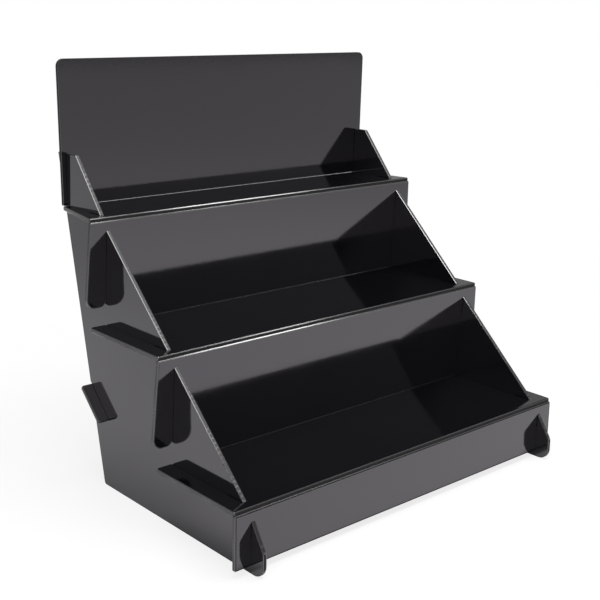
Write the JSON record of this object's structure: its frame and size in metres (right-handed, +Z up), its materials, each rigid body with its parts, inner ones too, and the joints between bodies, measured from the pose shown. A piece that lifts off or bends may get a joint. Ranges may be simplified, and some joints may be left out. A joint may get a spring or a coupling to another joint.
{
  "type": "cardboard display stand",
  "caption": "Tiered counter display stand of black board sheets slotted together, with stepped shelves, slanted side cheeks and a plain header.",
  "frame": {"origin": "on the floor under the middle of the stand", "axes": "+X across the stand, +Y from the front to the back, +Z up"},
  "size_m": [0.421, 0.309, 0.4],
  "materials": {
    "board": "gloss laminated"
  },
  "bodies": {
    "root": {"left_side_panel": "board", "right_side_panel": "board", "front_fascia": "board", "lower_riser": "board", "upper_riser": "board", "header_panel": "board", "bottom_shelf": "board", "middle_shelf": "board", "top_shelf": "board", "rear_brace": "board"}
  },
  "joints": []
}
